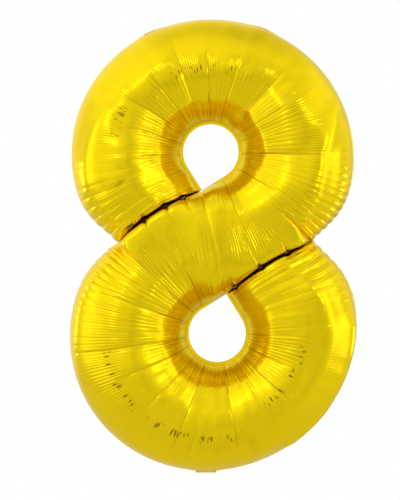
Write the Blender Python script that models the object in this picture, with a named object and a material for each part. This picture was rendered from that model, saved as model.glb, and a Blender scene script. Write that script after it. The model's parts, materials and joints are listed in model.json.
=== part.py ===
"""Foil number balloon in the shape of an 8, filled with gas and hanging from its two top tabs.

Two panels of metallised film lie face to face and are welded along every edge. The stroke of the
figure is one S-shaped tube: each loop runs round its own hole and ends at a slit against the
diagonal, where small film bridges tie it. A film valve is welded into the lower edge, with a
filling tail outside it.

Run it with: blender --background --python part.py

Lengths are metres and angles radians. X is to the right, +Y to the back and +Z up. The seam lies in
the plane y = 0, and the origin is midway between the holes of the two hanging tabs.
"""

from math import atan, atan2, cos, exp, pi, radians, sin, sqrt
from typing import NamedTuple

import bmesh
import bpy
from mathutils import Matrix, Vector

# Film and weld
FILM = 0.0005  # film thickness, far over the real 0.05 mm so that the solid is sound
PLY_GAP = 0.0003  # gap between two films that are welded together in reality
FACE = PLY_GAP / 2 + FILM  # from the seam plane to the outer face of a panel's edge
EDGE_WELD = 0.0050  # width of the flat weld round the rim and the holes
SLIT_WELD = 0.0025  # width of the flat weld on each side of a slit
SLOT = 0.0016  # open width of a slit, between its two cut edges

# The figure, about its own centre
SLIT_ANGLE = radians(32)  # both slits climb to the right at this angle
SLIT_LENGTH = 0.188
HALF_DEPTH_SHARE = 0.45  # half the tube's depth, as a share of its width between welds
LOBE_END_REACH = 0.075  # how far from its slit a loop's end reaches its full depth
LOBE_END_POWER = 6.0  # how full the end is, where 2 is an ellipse
SLIT_SIDE_POWER = 6.0  # the same for the tube's cross-section beside a slit
HOLE_SIDE_POWER = 1.65  # beside a hole, where the film is gathered to a cone
JOINT_POWER = 3.0  # at the tips of the holes, between the two
RIM_SIDE_POWER = 2.0
MOUTH_ANGLES = (radians(223), radians(-42))  # from the hole to the mouths of its own slit and the other
SLIT_LIFT = 0.010  # how far both slits bow up from straight, in the middle of their length
SLIT_LIFT_SPREAD = 0.065
RIBS_PER_LOOP = 38
BULGE_STEPS = 12

# Hanging tabs on the upper rim, as angles round the upper loop
TAB_ANGLES = {"hanging_tab_right": radians(67), "hanging_tab_left": radians(117)}
TAB_WIDTH = 0.024
TAB_LENGTH = 0.023
TAB_CORNER = 0.006
TAB_HOLE_RADIUS = 0.0025
TAB_HOLE_ALONG = 0.014  # from the fold to the middle of the hole
FOLD_CLEARANCE = 0.0012  # from a cut edge to the fold of a tab or of the tail
FOLD_LAND = 0.0008  # from a fold to the first edge of the solid that turns about it

# Filling tail and valve at the foot of the lower rim
TAIL_WIDTH = 0.040
TAIL_LENGTH = 0.046
THROAT_HALF = 0.0145  # half the flat width of the channel that the valve runs through
THROAT_RAMP = 0.0040  # width of each side of the channel
THROAT_RISE = 0.0008  # how far the channel stands off the weld
VALVE_HALF_WIDTH = 0.013
VALVE_NECK_HALF_WIDTH = 0.009
VALVE_ROOT = 0.030  # fixed length of the valve, from the cut edge up
VALVE_LIP = 0.062  # free length of the valve, above its root

# Film bridges, as distances along each slit from the tip of its hole
UPPER_BRIDGES = (0.038, 0.076, 0.123)
LOWER_BRIDGES = (0.021, 0.081, 0.139)
BRIDGE_LENGTH = 0.007

GOLD = (0.83, 0.62, 0.01)
CLEAR_FILM = (0.82, 0.84, 0.85)


class Loop(NamedTuple):
    """One loop of the 8 in its own frame, in which its slit leaves it at the lower left.

    The lower loop's own frame is the figure's, turned by half a turn."""

    hole: Vector
    hole_radius: float
    rim: Vector
    rim_radius: float
    oval: float  # share by which the rim is longer along oval_angle
    oval_angle: float
    turn: float
    notches: tuple  # (how far the rim draws in, over what spread of angle) at each of the MOUTH_ANGLES


UPPER = Loop(
    hole=Vector((-0.0060, 0.1775)),
    hole_radius=0.0530,
    rim=Vector((-0.0025, 0.1690)),
    rim_radius=0.2655,
    oval=0.016,
    oval_angle=radians(-11),
    turn=0.0,
    notches=((0.021, radians(14)), (0.021, radians(15))),
)
LOWER = Loop(
    hole=Vector((-0.0063, 0.1690)),
    hole_radius=0.0545,
    rim=Vector((0.0015, 0.1635)),
    rim_radius=0.2700,
    oval=0.026,
    oval_angle=radians(31),
    turn=pi,
    notches=((0.021, radians(16)), (0.015, radians(14))),
)

ALONG_SLIT = Vector((-cos(SLIT_ANGLE), -sin(SLIT_ANGLE)))  # from a hole's tip to the slit's mouth
ACROSS_SLIT = Vector((-sin(SLIT_ANGLE), cos(SLIT_ANGLE)))  # towards the loop that ends there


def ray(angle):
    return Vector((cos(angle), sin(angle)))


def turned(point, angle):
    """A point of the figure's plane after a turn about the figure's centre."""
    c, s = cos(angle), sin(angle)
    return Vector((c * point.x - s * point.y, s * point.x + c * point.y))


def in_figure(loop, point):
    """A point of a loop's own frame in the figure's frame, with the bow of the slits."""
    flat = turned(point, loop.turn)
    place = flat.copy()
    for each in (UPPER, LOWER):
        from_tip = turned(flat, each.turn) - hole_tip(each)
        along = from_tip.dot(ALONG_SLIT) / SLIT_LENGTH
        if 0 < along < 1:
            near = exp(-((from_tip.dot(ACROSS_SLIT) / SLIT_LIFT_SPREAD) ** 2))
            place += ACROSS_SLIT * (SLIT_LIFT * sin(pi * along) * near)
    return place


def hole_tip(loop):
    """The corner of a hole, where its slit starts, on the diagonal's side of the slit."""
    return loop.hole + (ALONG_SLIT - ACROSS_SLIT) * loop.hole_radius


def hole_point(loop, angle):
    """The cut edge of the hole: a circle with two tangents that meet at right angles at the tip."""
    from_tip = abs((angle - (SLIT_ANGLE + pi * 5 / 4) + pi) % (2 * pi) - pi)
    return loop.hole + ray(angle) * (loop.hole_radius / cos(max(0.0, pi / 4 - from_tip)))


def circle_reach(centre, radius, start, direction):
    """How far from start the circle lies along a unit direction, seen from inside it."""
    out = centre - start
    along = out.dot(direction)
    return along + sqrt(radius**2 - out.length_squared + along**2)


def rim_reach(loop, angle):
    """From the hole's centre to the cut edge of the rim."""
    oval = 1 + loop.oval * cos(2 * (angle - loop.oval_angle))
    reach = circle_reach(loop.rim, loop.rim_radius * oval, loop.hole, ray(angle))
    for mouth, (pull, spread) in zip(MOUTH_ANGLES, loop.notches):
        reach -= pull * exp(-(((angle - mouth) / spread) ** 2))
    return reach


def outer_point(loop, angle, far_tip):
    """The outer cut edge of the tube: the rim, and past its mouth the far slit, down to far_tip."""
    to_slit = (far_tip - loop.hole).dot(-ACROSS_SLIT)
    facing = ray(angle).dot(-ACROSS_SLIT)
    slit_reach = to_slit / facing if facing > 0.05 else 1.0
    return loop.hole + ray(angle) * min(rim_reach(loop, angle), slit_reach)


def end_line_angle(loop):
    """The angle from the hole at which the rim meets the cut edge of the loop's own end."""
    low, high = radians(205), radians(240)
    for _ in range(40):
        middle = (low + high) / 2
        point = loop.hole + ray(middle) * rim_reach(loop, middle)
        if from_own_slit(loop, point) > 0:
            low = middle
        else:
            high = middle
    return low


def from_own_slit(loop, point):
    """The distance of a point from the cut edge of the loop's own end."""
    return (point - loop.hole).dot(ACROSS_SLIT) + loop.hole_radius - SLOT


def rib_angles(loop, far_tip, extra):
    """Pairs of angles from the hole, to the hole's edge and to the outer edge, one pair for each rib.

    Ribs start along the loop's own end, turn until they radiate from the hole, and finish on the
    line between the tips of the two holes. They lie closer where the end curves down steeply."""
    first = end_line_angle(loop)
    last = atan2(far_tip.y - loop.hole.y, far_tip.x - loop.hole.x)
    start_lead = SLIT_ANGLE + pi + atan(1 - SLOT / loop.hole_radius) - first
    end_lead = SLIT_ANGLE - pi * 3 / 4 - last
    close = [radians(a) for a in (0.0, 0.62, 1.3, 2.4, 4.0, 6.5, 10.0)]
    even = [close[-1] + (first - last - close[-1]) * i / RIBS_PER_LOOP for i in range(1, RIBS_PER_LOOP + 1)]
    outer = sorted([first - a for a in close + even] + list(extra), reverse=True)
    for angle in outer:
        lead = start_lead * exp((angle - first) / radians(25)) + end_lead * exp((last - angle) / radians(9.5))
        yield angle + lead, angle


def weld_width(loop, angle):
    """The outer weld's width: wide on the rim, narrow along the far slit."""
    return SLIT_WELD + (EDGE_WELD - SLIT_WELD) * (1 - past_mouth(angle))


def past_mouth(angle):
    """From 0 where the outer edge is the rim to 1 where it is the far slit."""
    return min(1.0, max(0.0, (MOUTH_ANGLES[1] - angle) / radians(6)))


def eased(value, end):
    """From 0 at 0 to 1 at end."""
    share = min(1.0, max(0.0, value / end))
    return share * share * (3 - 2 * share)


def side_powers(angle, last):
    """How full the cross-section is on the hole's side and on the outer side of a rib."""
    inner = JOINT_POWER + (HOLE_SIDE_POWER - JOINT_POWER) * eased(angle - last, radians(26))
    outer = RIM_SIDE_POWER + (SLIT_SIDE_POWER - RIM_SIDE_POWER) * past_mouth(angle)
    outer = JOINT_POWER + (outer - JOINT_POWER) * eased(angle - last, radians(22))
    return inner, outer


def lobe_end_height(distance):
    """Share of full depth at a distance from the weld that closes a loop's end."""
    away = 1 - min(1.0, max(0.0, distance) / LOBE_END_REACH)
    return (1 - away**LOBE_END_POWER) ** (1 / LOBE_END_POWER)


def rib(loop, angles, far_tip, last):
    """Points along one rib from the hole's cut edge to the outer one, each as (x, z, height)."""
    inner, outer = hole_point(loop, angles[0]), outer_point(loop, angles[1], far_tip)
    width = (outer - inner).length
    inner_weld, outer_weld = EDGE_WELD, weld_width(loop, angles[1])
    inflated = width - inner_weld - outer_weld
    shares = [(1 - cos(pi * i / BULGE_STEPS)) / 2 for i in range(BULGE_STEPS + 1)]
    stops = [0.0] + [inner_weld + share * inflated for share in shares] + [width]
    powers = side_powers(angles[1], last)
    heights = [0.0]
    for share in shares:
        power = powers[0] if share < 0.5 else powers[1]
        heights.append(max(0.0, 1 - abs(2 * share - 1) ** power) ** (1 / power))
    heights.append(0.0)
    found = []
    for stop, height in zip(stops, heights):
        point = inner.lerp(outer, stop / width)
        height *= HALF_DEPTH_SHARE * inflated
        if angles[1] > pi / 2:
            height *= lobe_end_height(from_own_slit(loop, point) - SLIT_WELD)
        found.append((*in_figure(loop, point), height))
    return found


def loop_ribs(loop, other, extra=()):
    far_tip = turned(hole_tip(other), pi)
    pairs = list(rib_angles(loop, far_tip, extra))
    return [rib(loop, angles, far_tip, pairs[-1][1]) for angles in pairs]


def rim_point(loop, angle):
    """A point of the rim's cut edge, in the loop's own frame."""
    return loop.hole + ray(angle) * rim_reach(loop, angle)


def tail_root():
    """The lowest point of the rim's cut edge, where the tail's middle leaves it."""
    angles = (radians(80 + 0.1 * i) for i in range(200))
    return turned(max((rim_point(LOWER, angle) for angle in angles), key=lambda point: point.y), pi)


def throat_rise(x):
    """How far the channel for the valve lifts a panel's weld, at a distance x from its middle."""
    share = (THROAT_HALF + THROAT_RAMP - abs(x)) / THROAT_RAMP
    return THROAT_RISE * min(1.0, max(0.0, share))


def throat_ribs():
    """Extra ribs of the lower loop, so that the channel has its corners on them."""
    half, ramp = THROAT_HALF, THROAT_RAMP
    top = turned(tail_root(), pi) - LOWER.hole
    return [atan2(top.y, top.x + x) for x in (-half - ramp, -half, 0.0, half, half + ramp)]


def tab_root(angle):
    """(point on the upper rim's cut edge, outward direction) of a hanging tab."""
    step = radians(0.5)
    along = rim_point(UPPER, angle + step) - rim_point(UPPER, angle - step)
    return rim_point(UPPER, angle), Vector((along.y, -along.x)).normalized()


def tab_hole(angle):
    """The middle of a hanging tab's hole with the tab folded back."""
    root, outward = tab_root(angle)
    fold = root + outward * FOLD_CLEARANCE
    return Vector((fold.x, TAB_HOLE_ALONG, fold.y))


ORIGIN = sum((tab_hole(angle) for angle in TAB_ANGLES.values()), Vector()) / len(TAB_ANGLES)


def clear_scene():
    for obj in list(bpy.data.objects):
        bpy.data.objects.remove(obj)


def material(name, colour, roughness, metallic):
    made = bpy.data.materials.new(name)
    made.use_nodes = True
    shader = made.node_tree.nodes["Principled BSDF"]
    shader.inputs["Base Color"].default_value = (*colour, 1)
    shader.inputs["Roughness"].default_value = roughness
    shader.inputs["Metallic"].default_value = metallic
    made.diffuse_color = (*colour, 1)
    return made


def link(name, mesh, finish, location=None):
    obj = bpy.data.objects.new(name, mesh)
    obj.data.materials.append(finish)
    obj.location = location if location is not None else -ORIGIN
    bpy.context.scene.collection.objects.link(obj)
    return obj


def sheet_object(name, rows, facing, finish, location=None):
    """A film of even thickness over a grid of points. facing is -1 where its outer face looks to -Y.

    Each point is (x, y, z) of the outer face, and the thickness goes to the other side."""
    bm = bmesh.new()
    grid = [[bm.verts.new(point) for point in row] for row in rows]
    for lower, upper in zip(grid, grid[1:]):
        for a, b, c, d in zip(lower, lower[1:], upper[1:], upper):
            bm.faces.new((a, b, c, d))
    bmesh.ops.recalc_face_normals(bm, faces=bm.faces)
    bm.faces.ensure_lookup_table()
    if sum(face.normal.y * face.calc_area() for face in bm.faces) * facing < 0:
        bmesh.ops.reverse_faces(bm, faces=bm.faces)
    mesh = bpy.data.meshes.new(name)
    bm.to_mesh(mesh)
    bm.free()
    mesh.shade_smooth()
    obj = link(name, mesh, finish, location)
    thick = obj.modifiers.new("film", "SOLIDIFY")
    thick.thickness = FILM
    thick.offset = -1
    thick.use_even_offset = True
    return obj


def panel(name, facing, ribs, finish):
    """One half of the balloon: its inflated film with the flat weld round every edge."""
    foot = tail_root()
    rows = []
    for points in ribs:
        row = []
        for x, z, height in points:
            on_foot_weld = z < foot.y + EDGE_WELD * 1.5 and height < FILM
            rise = throat_rise(x - foot.x) if on_foot_weld else 0.0
            row.append((x, facing * (FACE + height + rise), z))
        rows.append(row)
    return sheet_object(name, rows, facing, finish)


def plate(name, outline, low, high, finish, location=None):
    """A flat solid with this outline in X and Z, from y = low to y = high."""
    bm = bmesh.new()
    face = bm.faces.new([bm.verts.new((x, low, z)) for x, z in outline])
    sides = bmesh.ops.extrude_face_region(bm, geom=[face])
    moved = [item for item in sides["geom"] if isinstance(item, bmesh.types.BMVert)]
    bmesh.ops.translate(bm, verts=moved, vec=(0, high - low, 0))
    bmesh.ops.recalc_face_normals(bm, faces=bm.faces)
    mesh = bpy.data.meshes.new(name)
    bm.to_mesh(mesh)
    bm.free()
    return link(name, mesh, finish, location)


def rounded_end(half_width, start, end, corner, steps=5):
    """A strip's outline from z = start to z = end, with rounded corners at its end."""
    outline = [(-half_width, start), (half_width, start)]
    for side, from_angle in ((1, 0.0), (-1, pi / 2)):
        for i in range(steps + 1):
            angle = from_angle + pi / 2 * i / steps
            middle = side * (half_width - corner)
            outline.append((middle + corner * cos(angle), end - corner + corner * sin(angle)))
    return outline


def folded_back(obj, fold, outward):
    """Stands an object that was made along +Z on a fold line, folded back to +Y.

    fold is a point of the fold line and outward the direction away from the figure, both in its plane."""
    side = Vector((outward.y, 0, -outward.x))  # along the fold, so that a turn about it lifts the tab
    back = Vector((0, 1, 0))
    obj.matrix_world = Matrix.Translation(Vector((fold.x, 0, fold.y)) - ORIGIN) @ Matrix(
        (side, -side.cross(back), back)
    ).transposed().to_4x4()


def hanging_tab(name, angle, finish):
    """A flat ear of two films welded together, with its hole, folded back behind the rim."""
    root, outward = tab_root(angle)
    outline = rounded_end(TAB_WIDTH / 2, FOLD_LAND, TAB_LENGTH, TAB_CORNER)
    tab = plate(name, outline, -FACE, FACE, finish)
    folded_back(tab, root + outward * FOLD_CLEARANCE, outward)
    bpy.ops.mesh.primitive_cylinder_add(
        vertices=24,
        radius=TAB_HOLE_RADIUS,
        depth=8 * FACE,
        rotation=(pi / 2, 0, 0),
        location=(0, 0, TAB_HOLE_ALONG),
    )
    punch = bpy.context.active_object
    punch.name = name + "_punch"
    bpy.ops.object.transform_apply(location=True, rotation=True)
    punch.matrix_world = tab.matrix_world.copy()
    punch.hide_render = True
    punch.display_type = "WIRE"
    cut = tab.modifiers.new("hole", "BOOLEAN")
    cut.operation = "DIFFERENCE"
    cut.object = punch
    return tab


def tail_tongue(name, facing, finish):
    """One film of the filling tail, lifted along its middle where the straw goes in."""
    half = TAIL_WIDTH / 2
    columns = (-half, -THROAT_HALF - THROAT_RAMP, -THROAT_HALF, THROAT_HALF, THROAT_HALF + THROAT_RAMP, half)
    rows = []
    for z in (FOLD_LAND, TAIL_LENGTH * 0.5, TAIL_LENGTH * 0.86, TAIL_LENGTH):
        narrow = 0.9 if z == TAIL_LENGTH else 1.0
        rows.append([(x * narrow, facing * (FACE + throat_rise(x)), z) for x in columns])
    tongue = sheet_object(name, rows, facing, finish)
    folded_back(tongue, tail_root() - Vector((0, FOLD_CLEARANCE + THROAT_RISE)), Vector((0, -1)))
    return tongue


def valve_outline(stops):
    """Outline of a strip from (height, half width) pairs, going up one side and down the other."""
    return [(half, z) for z, half in stops] + [(-half, z) for z, half in reversed(stops)]


def valve(finish):
    """The four films of the self-sealing valve: two fixed in the weld, and two lips that part."""
    edge = tail_root()
    location = Vector((edge.x, 0, edge.y)) - ORIGIN
    hinge = VALVE_ROOT
    root = (
        (FILM, VALVE_HALF_WIDTH),
        (EDGE_WELD * 2, VALVE_HALF_WIDTH),
        (hinge - PLY_GAP / 2, VALVE_NECK_HALF_WIDTH),
    )
    lip = (
        (hinge + PLY_GAP / 2, VALVE_NECK_HALF_WIDTH),
        (hinge + VALVE_LIP * 0.9, VALVE_NECK_HALF_WIDTH * 1.15),
        (hinge + VALVE_LIP, VALVE_NECK_HALF_WIDTH * 0.8),
    )
    for side, facing in (("front", -1), ("back", 1)):
        low, high = sorted((facing * PLY_GAP / 2, facing * FACE))
        plate(f"valve_{side}_film", valve_outline(root), low, high, finish, location)
        plate(f"valve_{side}_lip", valve_outline(lip), low, high, finish, location)


def bridges(prefix, loop, distances, finish):
    """Small uncut bits of welded film across a slit, which tie the loop's end to the diagonal."""
    half_length, half_width = BRIDGE_LENGTH / 2, SLOT / 2 - PLY_GAP
    for number, distance in enumerate(distances, 1):
        middle = hole_tip(loop) + ALONG_SLIT * distance + ACROSS_SLIT * SLOT / 2
        corners = []
        for along, across in ((-1, -1), (1, -1), (1, 1), (-1, 1)):
            corner = middle + ALONG_SLIT * along * half_length + ACROSS_SLIT * across * half_width
            corners.append(tuple(in_figure(loop, corner)))
        plate(f"{prefix}_bridge_{number}", corners, -FACE, FACE, finish)


def main():
    clear_scene()
    foil = material("gold_foil", GOLD, 0.2, 1.0)
    clear = material("valve_film", CLEAR_FILM, 0.4, 0.0)
    lower = loop_ribs(LOWER, UPPER, throat_ribs())
    ribs = loop_ribs(UPPER, LOWER)[:-1] + [list(reversed(points)) for points in reversed(lower)]
    panel("front_foil", -1, ribs, foil)
    panel("back_foil", 1, ribs, foil)
    for name, angle in TAB_ANGLES.items():
        hanging_tab(name, angle, foil)
    tail_tongue("tail_front_film", -1, foil)
    tail_tongue("tail_back_film", 1, foil)
    valve(clear)
    bridges("upper", UPPER, UPPER_BRIDGES, foil)
    bridges("lower", LOWER, LOWER_BRIDGES, foil)


main()
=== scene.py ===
"""The look of a foil number balloon in the shape of an 8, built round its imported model.

Both panels of the balloon are one sheet of film each, laid over the same S-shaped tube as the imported
solids and then creased, pleated and puckered where such a film gathers. The tabs, the tail and the
bridges get finer pieces or finer finishes. Lengths are metres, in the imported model's own frame.
"""

import json
from math import atan, atan2, cos, pi, radians, sin
from typing import NamedTuple

import bpy
import numpy as np
from bpy.props import FloatProperty, FloatVectorProperty, IntProperty, PointerProperty
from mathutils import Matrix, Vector


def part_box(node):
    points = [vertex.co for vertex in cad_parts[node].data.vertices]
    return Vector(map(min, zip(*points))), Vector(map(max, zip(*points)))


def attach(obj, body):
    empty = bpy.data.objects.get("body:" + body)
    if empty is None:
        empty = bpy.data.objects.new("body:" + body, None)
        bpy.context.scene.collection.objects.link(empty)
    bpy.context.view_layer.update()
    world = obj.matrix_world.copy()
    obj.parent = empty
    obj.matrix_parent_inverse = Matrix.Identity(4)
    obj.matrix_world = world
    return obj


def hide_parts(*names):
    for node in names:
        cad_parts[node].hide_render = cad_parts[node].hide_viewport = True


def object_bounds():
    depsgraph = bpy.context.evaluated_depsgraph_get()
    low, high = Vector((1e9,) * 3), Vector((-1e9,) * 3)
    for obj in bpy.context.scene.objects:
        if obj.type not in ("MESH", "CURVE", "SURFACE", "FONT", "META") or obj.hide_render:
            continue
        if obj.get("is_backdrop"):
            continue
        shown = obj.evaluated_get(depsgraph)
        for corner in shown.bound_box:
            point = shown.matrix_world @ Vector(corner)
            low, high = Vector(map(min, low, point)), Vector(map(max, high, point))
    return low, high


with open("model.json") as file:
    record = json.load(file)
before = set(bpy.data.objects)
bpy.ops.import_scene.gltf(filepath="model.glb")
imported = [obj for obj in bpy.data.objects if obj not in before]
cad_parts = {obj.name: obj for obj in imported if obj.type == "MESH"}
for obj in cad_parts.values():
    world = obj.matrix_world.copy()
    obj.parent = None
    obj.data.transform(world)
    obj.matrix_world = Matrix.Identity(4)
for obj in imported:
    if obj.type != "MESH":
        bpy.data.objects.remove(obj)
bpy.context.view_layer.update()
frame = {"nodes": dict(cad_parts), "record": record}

bl_info = {
    "name": "Foil number balloon",
    "version": (1, 0, 0),
    "blender": (4, 5, 0),
    "location": "3D View > Sidebar > Balloon",
    "description": "Builds the film, the finishes and the studio of a foil balloon shaped as an 8",
    "category": "Add Mesh",
}

RECORD = frame["record"]


# ---------------------------------------------------------------- settings


def metres(name, default, description):
    return FloatProperty(name=name, description=description, default=default, unit="LENGTH")


def number(name, default, description):
    return FloatProperty(name=name, description=description, default=default)


def colour(name, default, description):
    return FloatVectorProperty(
        name=name, description=description, default=default, subtype="COLOR", size=3, min=0, max=1
    )


class FilmSettings(bpy.types.PropertyGroup):
    """How the film of the two panels lies."""

    stations: IntProperty(
        name="Stations", description="Lines across the stroke along each loop", default=1160, min=60
    )
    rows: IntProperty(
        name="Rows", description="Lines along the stroke between its welds", default=38, min=8
    )
    depth_share: number("Depth share", 0.45, "Half the tube's depth, as a share of its width")
    hole_weld: metres("Hole weld", 0.005, "Flat weld round the holes")
    rim_weld: metres("Rim weld", 0.0022, "Flat weld left outside the tube at the rim")
    slit_weld: metres("Slit weld", 0.0008, "Flat weld left beside a slit")
    crease_depth: metres("Crease depth", 0.0040, "Depth of the long creases")
    facet_height: metres("Facet height", 0.0052, "How far the film between creases tips to one side")
    pleat_height: metres("Pleat height", 0.00060, "Height of the fine pleats")
    scallop: metres("Scallop", 0.0024, "How far the rim puffs out between two tucks")


class TabSettings(bpy.types.PropertyGroup):
    """The hanging tabs, the filling tail and the valve."""

    tab_width: metres("Tab width", 0.024, "Width of a hanging tab")
    tab_length: metres("Tab length", 0.023, "From a hanging tab's fold to its end")
    hole_radius: metres("Punched hole", 0.0025, "Radius of the hole for a ribbon")
    hole_along: metres("Hole place", 0.014, "From a tab's fold to the middle of its hole")
    tail_width: metres("Tail width", 0.040, "Width of the filling tail")
    tail_length: metres("Tail length", 0.046, "From the tail's fold to its open end")
    channel: metres("Channel", 0.0145, "Half the width of the channel for the nozzle")
    film: metres("Film", 0.0004, "Thickness of the film as modelled")


class FinishSettings(bpy.types.PropertyGroup):
    """Colours and gloss of the film, with the painted shade of its folds, tiny tucks and slits."""

    gold: colour("Gold", (0.93, 0.70, 0.0012), "The lacquered metal seen head on")
    amber: colour("Amber", (0.87, 0.59, 0.0012), "The lacquer where it is gathered most")
    # painted shade: the colour that the folds of the laid film go to, in the valleys of creases and
    # pleats, along dents and in a ring round the holes
    crease_shade: colour("Crease", (0.42, 0.26, 0.001), "The lacquer at the bottom of a crease")
    tuck: colour("Tiny tucks", (0.26, 0.18, 0.001), "The dark inside of a tiny tuck")
    # painted shadow: the dark colour of the tiny tucks, which are drawn only as dark dashes
    gap: colour("Slit", (0.10, 0.035, 0.006), "The dark inside of a slit and of the knots on it")
    # painted shadow: the dark colour inside a slit and at the knots on it, where the film lies in shade
    clear: colour("Clear film", (0.82, 0.84, 0.85), "The valve's own film")
    gloss: number("Roughness", 0.24, "Roughness of the metal film")


class StudioSettings(bpy.types.PropertyGroup):
    """Camera and floor."""

    distance: metres("Camera distance", 3.0, "From the camera to the seam")
    view_height: metres("View height", 0.9555, "Height of the view at the balloon")
    floor_drop: metres("Floor drop", 0.30, "From the tail down to the floor")


# ---------------------------------------------------------------- the figure's outline

SLIT_ANGLE = radians(32)
SLIT_LENGTH = 0.188
SLIT_LIFT = 0.010  # how far a slit bows up in its middle
SLIT_LIFT_SPREAD = 0.065
SLOT = -0.0003  # the two films press together, so their edges overlap a little
LOBE_END_REACH = 0.075  # how far from a loop's own end the tube starts to curve down
LOBE_END_POWER = 11.0
RIM_SIDE_POWER = 2.0  # how full the tube is beside the rim, where 2 is an ellipse
SLIT_SIDE_POWER = 13.0  # how full it is beside a slit
HOLE_SIDE_POWER = 1.65  # how full it is beside a hole
JOINT_POWER = 3.0  # how full it is at the tips of the holes, between the two
ALONG_SLIT = np.array((-cos(SLIT_ANGLE), -sin(SLIT_ANGLE)))
ACROSS_SLIT = np.array((-sin(SLIT_ANGLE), cos(SLIT_ANGLE)))
MOUTHS = (radians(223), radians(-42))  # where the rim meets the loop's own slit and the other one
PUFF_PITCHES = (radians(4.6), radians(3.4))  # from one tuck of the rim to the next at each mouth
PUFF_SPREADS = (radians(24), radians(30))
FLARE_SPREAD = radians(6)  # along the rim, of the wider weld that a tab or the tail grows out of
STROKE = 0.21  # usual width of the stroke, from a hole to the rim
NEAREST = 0.00008  # from the seam to the film of a panel where the two are welded


class Loop(NamedTuple):
    """One loop of the 8 in its own frame. The lower loop's is the figure's, turned by half a turn.

    The tables give angles about the middle of the hole, in degrees. A share of the stroke runs from 0
    at the edge of the hole to 1 at the rim.
    """

    hole: np.ndarray
    hole_radius: float
    rim: np.ndarray
    rim_radius: float
    oval: float
    oval_angle: float
    side: int  # 1 for the upper loop and -1 for the lower one
    notches: tuple  # (how far the rim draws in, over what spread of angle) at each of the MOUTHS
    folds: tuple  # (joint of a tab or of the tail, how much wider the weld is where it grows out)
    bridges: tuple  # distances of the bridges from the tip of the loop's hole, along its slit
    creases: tuple  # (angle, share that the crease reaches)
    gathers: tuple  # (angle, reach of the inner pleats, start, reach and size of the outer ones)
    rim_folds: tuple  # long soft ridges beside the rim: (angles, shares there, height)
    dents: tuple  # short creases away from the rest: (angle, share, turn)
    tucks: tuple  # rows of tiny tucks, drawn only as painted shadow: (first angle, last angle, share)
    ring_shade: float  # how much painted shade darkens the film round the hole


UPPER = Loop(
    hole=np.array((-0.0060, 0.1775)),
    hole_radius=0.0530,
    rim=np.array((-0.0025, 0.1690)),
    rim_radius=0.2655,
    oval=0.016,
    oval_angle=radians(-11),
    side=1,
    notches=((0.021, radians(14)), (0.021, radians(15))),
    folds=(("right_tab_fold", 0.0020), ("left_tab_fold", 0.0020)),
    bridges=(0.038, 0.076, 0.123),
    creases=(
        (186, 0.5), (166, 0.55), (148, 0.7), (129, 0.7), (110, 0.8), (92, 0.72),
        (73, 0.72), (47, 0.78), (30, 0.6), (-3, 0.7), (-33, 0.55), (-67, 0.5),
    ),
    gathers=(
        (-103, 0.30, 0.42, 0.92, 1.0), (-60, 0.24, 0.40, 0.90, 1.0), (-36, 0.40, 0.48, 0.85, 0.8),
        (-5, 0.62, 0.60, 0.80, 0.5), (30, 0.60, 0.55, 0.70, 0.6), (60, 0.52, 0.50, 0.66, 0.6),
        (88, 0.42, 0.47, 0.62, 0.8), (110, 0.50, 0.50, 0.74, 0.7), (140, 0.55, 0.52, 0.78, 0.7),
        (168, 0.50, 0.55, 0.72, 0.6), (190, 0.42, 0.80, 0.90, 0.2), (205, 0.30, 0.66, 1.0, 0.9),
        (223, 0.22, 0.62, 1.0, 1.0),
    ),
    rim_folds=(
        ((-46, -20, -3, 12, 26), (0.80, 0.72, 0.70, 0.82, 1.0), 0.0065),
        ((150, 178, 190, 204), (0.70, 0.80, 0.84, 0.90), 0.0060),
    ),
    dents=((201, 0.60, 25),),
    tucks=((68, 122, 0.48), (152, 176, 0.60)),
    ring_shade=0.0,
)
LOWER = Loop(
    hole=np.array((-0.0063, 0.1690)),
    hole_radius=0.0545,
    rim=np.array((0.0015, 0.1635)),
    rim_radius=0.2700,
    oval=0.026,
    oval_angle=radians(31),
    side=-1,
    notches=((0.021, radians(16)), (0.015, radians(14))),
    folds=(("tail_fold", 0.0014),),
    bridges=(0.021, 0.081, 0.139),
    creases=(
        (181, 0.55), (157, 0.5), (138, 0.7), (100, 0.86), (68, 0.94), (45, 0.73),
        (24, 0.7), (7, 1.0), (-21, 0.85), (-41, 0.45), (-63, 0.45),
    ),
    gathers=(
        (-103, 0.55, 0.40, 0.70, 0.9), (-60, 0.60, 0.45, 0.80, 0.9), (-30, 0.62, 0.55, 0.90, 1.0),
        (5, 0.55, 0.55, 0.92, 1.0), (22, 0.30, 0.60, 0.90, 0.9), (60, 0.20, 0.64, 0.90, 0.9),
        (100, 0.22, 0.62, 0.88, 1.0), (128, 0.34, 0.56, 0.78, 0.9), (150, 0.50, 0.54, 0.62, 0.5),
        (180, 0.52, 0.60, 0.64, 0.1), (196, 0.26, 0.80, 1.0, 0.4), (223, 0.12, 0.75, 1.0, 0.6),
    ),
    rim_folds=(
        ((116, 135, 155, 172, 192), (0.96, 0.95, 0.93, 0.93, 0.91), 0.0080),
        ((104, 124, 150, 180, 216), (0.90, 0.80, 0.74, 0.74, 0.66), 0.0070),
        ((-40, -20, 8, 24), (0.86, 0.90, 0.92, 0.97), 0.0050),
    ),
    dents=(),
    tucks=((4, 104, 0.67), (122, 176, 0.50)),
    ring_shade=0.12,
)


def named(entries, name):
    """The entry of that name in one of the record's lists."""
    return next(each for each in entries if each["name"] == name)


SEAM_Y = (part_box("front_foil")[1][1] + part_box("back_foil")[0][1]) / 2
HOLE = sum(map(Vector, named(RECORD["physics"]["openings"], "upper_hole")["box_m"]), Vector()) / 2
CENTRE = np.array((HOLE.x - UPPER.hole[0], HOLE.z - UPPER.hole[1]))


def bell(x, spread):
    """1 where x is 0, and down to 0 on both sides of it."""
    return np.exp(-((x / spread) ** 2))


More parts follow.
